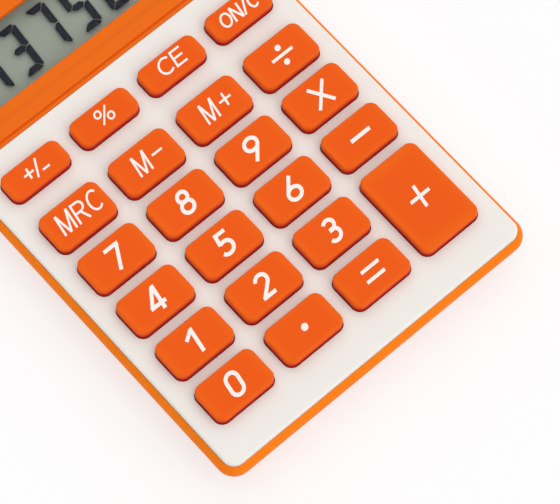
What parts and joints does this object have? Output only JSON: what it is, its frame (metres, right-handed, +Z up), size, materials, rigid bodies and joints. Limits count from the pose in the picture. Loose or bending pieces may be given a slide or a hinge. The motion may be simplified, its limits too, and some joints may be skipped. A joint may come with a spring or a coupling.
{
  "type": "calculator",
  "caption": "Flat portable calculator with a two-part case, sprung push keys, a digit display behind a clear window, a solar cell and a button cell behind a screwed door.",
  "frame": {"origin": "on the table, under the middle of the case", "axes": "+X to the user's right, +Y away from the user towards the display, +Z up"},
  "size_m": [0.0706, 0.116, 0.0115],
  "materials": {
    "white_plastic": "fine satin moulding",
    "case_plastic": "fine satin moulding",
    "bezel_plastic": "fine satin moulding",
    "key_plastic": "satin moulding with white printed legends",
    "clear_plastic": "polished clear sheet",
    "display_glass": "polished",
    "reflector_film": "fine frosted film",
    "contact_rubber": "cut strip",
    "foam": "open foam",
    "solar_glass": "dark cell under glass",
    "copper": "plated",
    "silicone": "matt moulded rubber",
    "carbon": "matt",
    "board_laminate": "laminate with lacquer",
    "resin": "glossy drop",
    "ceramic": "glazed",
    "cell_steel": "plated steel",
    "spring_steel": "plated spring strip",
    "screw_steel": "zinc plated",
    "foot_rubber": "matt moulded rubber"
  },
  "bodies": {
    "case": {"front_cover": "white_plastic", "rear_cover": "case_plastic", "battery_door": "case_plastic", "display_bezel": "bezel_plastic", "display_window": "clear_plastic", "lcd_front_glass": "display_glass", "lcd_rear_glass": "display_glass", "lcd_reflector": "reflector_film", "lcd_connector": "contact_rubber", "lcd_foam": "foam", "solar_cell": "solar_glass", "solar_leads": "copper", "keypad_membrane": "silicone", "contact_pills": "carbon", "contact_pads": "copper", "circuit_board": "board_laminate", "controller_chip": "resin", "supply_capacitor": "ceramic", "button_cell": "cell_steel", "positive_contact": "spring_steel", "negative_contact": "spring_steel", "door_screw": "screw_steel", "case_screws": "screw_steel", "board_screws": "screw_steel", "rubber_feet": "foot_rubber"},
    "key_0": {"key_0": "key_plastic"},
    "key_1": {"key_1": "key_plastic"},
    "key_2": {"key_2": "key_plastic"},
    "key_3": {"key_3": "key_plastic"},
    "key_4": {"key_4": "key_plastic"},
    "key_5": {"key_5": "key_plastic"},
    "key_6": {"key_6": "key_plastic"},
    "key_7": {"key_7": "key_plastic"},
    "key_8": {"key_8": "key_plastic"},
    "key_9": {"key_9": "key_plastic"},
    "key_point": {"key_point": "key_plastic"},
    "key_equals": {"key_equals": "key_plastic"},
    "key_plus": {"key_plus": "key_plastic"},
    "key_minus": {"key_minus": "key_plastic"},
    "key_multiply": {"key_multiply": "key_plastic"},
    "key_divide": {"key_divide": "key_plastic"},
    "key_memory_recall": {"key_memory_recall": "key_plastic"},
    "key_memory_minus": {"key_memory_minus": "key_plastic"},
    "key_memory_plus": {"key_memory_plus": "key_plastic"},
    "key_sign_change": {"key_sign_change": "key_plastic"},
    "key_percent": {"key_percent": "key_plastic"},
    "key_clear_entry": {"key_clear_entry": "key_plastic"},
    "key_on_clear": {"key_on_clear": "key_plastic"}
  },
  "joints": [
    {"name": "key_0_press", "type": "slide", "parent": "case", "child": "key_0", "axis": [0, 0, -1], "range_m": [0, 0.0012], "stiffness_N_per_m": 600, "springref_m": -0.0004, "deforming": ["keypad_membrane", "contact_pills"]},
    {"name": "key_1_press", "type": "slide", "parent": "case", "child": "key_1", "axis": [0, 0, -1], "range_m": [0, 0.0012], "stiffness_N_per_m": 600, "springref_m": -0.0004, "deforming": ["keypad_membrane", "contact_pills"]},
    {"name": "key_2_press", "type": "slide", "parent": "case", "child": "key_2", "axis": [0, 0, -1], "range_m": [0, 0.0012], "stiffness_N_per_m": 600, "springref_m": -0.0004, "deforming": ["keypad_membrane", "contact_pills"]},
    {"name": "key_3_press", "type": "slide", "parent": "case", "child": "key_3", "axis": [0, 0, -1], "range_m": [0, 0.0012], "stiffness_N_per_m": 600, "springref_m": -0.0004, "deforming": ["keypad_membrane", "contact_pills"]},
    {"name": "key_4_press", "type": "slide", "parent": "case", "child": "key_4", "axis": [0, 0, -1], "range_m": [0, 0.0012], "stiffness_N_per_m": 600, "springref_m": -0.0004, "deforming": ["keypad_membrane", "contact_pills"]},
    {"name": "key_5_press", "type": "slide", "parent": "case", "child": "key_5", "axis": [0, 0, -1], "range_m": [0, 0.0012], "stiffness_N_per_m": 600, "springref_m": -0.0004, "deforming": ["keypad_membrane", "contact_pills"]},
    {"name": "key_6_press", "type": "slide", "parent": "case", "child": "key_6", "axis": [0, 0, -1], "range_m": [0, 0.0012], "stiffness_N_per_m": 600, "springref_m": -0.0004, "deforming": ["keypad_membrane", "contact_pills"]},
    {"name": "key_7_press", "type": "slide", "parent": "case", "child": "key_7", "axis": [0, 0, -1], "range_m": [0, 0.0012], "stiffness_N_per_m": 600, "springref_m": -0.0004, "deforming": ["keypad_membrane", "contact_pills"]},
    {"name": "key_8_press", "type": "slide", "parent": "case", "child": "key_8", "axis": [0, 0, -1], "range_m": [0, 0.0012], "stiffness_N_per_m": 600, "springref_m": -0.0004, "deforming": ["keypad_membrane", "contact_pills"]},
    {"name": "key_9_press", "type": "slide", "parent": "case", "child": "key_9", "axis": [0, 0, -1], "range_m": [0, 0.0012], "stiffness_N_per_m": 600, "springref_m": -0.0004, "deforming": ["keypad_membrane", "contact_pills"]},
    {"name": "key_point_press", "type": "slide", "parent": "case", "child": "key_point", "axis": [0, 0, -1], "range_m": [0, 0.0012], "stiffness_N_per_m": 600, "springref_m": -0.0004, "deforming": ["keypad_membrane", "contact_pills"]},
    {"name": "key_equals_press", "type": "slide", "parent": "case", "child": "key_equals", "axis": [0, 0, -1], "range_m": [0, 0.0012], "stiffness_N_per_m": 600, "springref_m": -0.0004, "deforming": ["keypad_membrane", "contact_pills"]},
    {"name": "key_plus_press", "type": "slide", "parent": "case", "child": "key_plus", "axis": [0, 0, -1], "range_m": [0, 0.0012], "stiffness_N_per_m": 600, "springref_m": -0.0004, "deforming": ["keypad_membrane", "contact_pills"]},
    {"name": "key_minus_press", "type": "slide", "parent": "case", "child": "key_minus", "axis": [0, 0, -1], "range_m": [0, 0.0012], "stiffness_N_per_m": 600, "springref_m": -0.0004, "deforming": ["keypad_membrane", "contact_pills"]},
    {"name": "key_multiply_press", "type": "slide", "parent": "case", "child": "key_multiply", "axis": [0, 0, -1], "range_m": [0, 0.0012], "stiffness_N_per_m": 600, "springref_m": -0.0004, "deforming": ["keypad_membrane", "contact_pills"]},
    {"name": "key_divide_press", "type": "slide", "parent": "case", "child": "key_divide", "axis": [0, 0, -1], "range_m": [0, 0.0012], "stiffness_N_per_m": 600, "springref_m": -0.0004, "deforming": ["keypad_membrane", "contact_pills"]},
    {"name": "key_memory_recall_press", "type": "slide", "parent": "case", "child": "key_memory_recall", "axis": [0, 0, -1], "range_m": [0, 0.0012], "stiffness_N_per_m": 600, "springref_m": -0.0004, "deforming": ["keypad_membrane", "contact_pills"]},
    {"name": "key_memory_minus_press", "type": "slide", "parent": "case", "child": "key_memory_minus", "axis": [0, 0, -1], "range_m": [0, 0.0012], "stiffness_N_per_m": 600, "springref_m": -0.0004, "deforming": ["keypad_membrane", "contact_pills"]},
    {"name": "key_memory_plus_press", "type": "slide", "parent": "case", "child": "key_memory_plus", "axis": [0, 0, -1], "range_m": [0, 0.0012], "stiffness_N_per_m": 600, "springref_m": -0.0004, "deforming": ["keypad_membrane", "contact_pills"]},
    {"name": "key_sign_change_press", "type": "slide", "parent": "case", "child": "key_sign_change", "axis": [0, 0, -1], "range_m": [0, 0.0012], "stiffness_N_per_m": 600, "springref_m": -0.0004, "deforming": ["keypad_membrane", "contact_pills"]},
    {"name": "key_percent_press", "type": "slide", "parent": "case", "child": "key_percent", "axis": [0, 0, -1], "range_m": [0, 0.0012], "stiffness_N_per_m": 600, "springref_m": -0.0004, "deforming": ["keypad_membrane", "contact_pills"]},
    {"name": "key_clear_entry_press", "type": "slide", "parent": "case", "child": "key_clear_entry", "axis": [0, 0, -1], "range_m": [0, 0.0012], "stiffness_N_per_m": 600, "springref_m": -0.0004, "deforming": ["keypad_membrane", "contact_pills"]},
    {"name": "key_on_clear_press", "type": "slide", "parent": "case", "child": "key_on_clear", "axis": [0, 0, -1], "range_m": [0, 0.0012], "stiffness_N_per_m": 600, "springref_m": -0.0004, "deforming": ["keypad_membrane", "contact_pills"]}
  ]
}
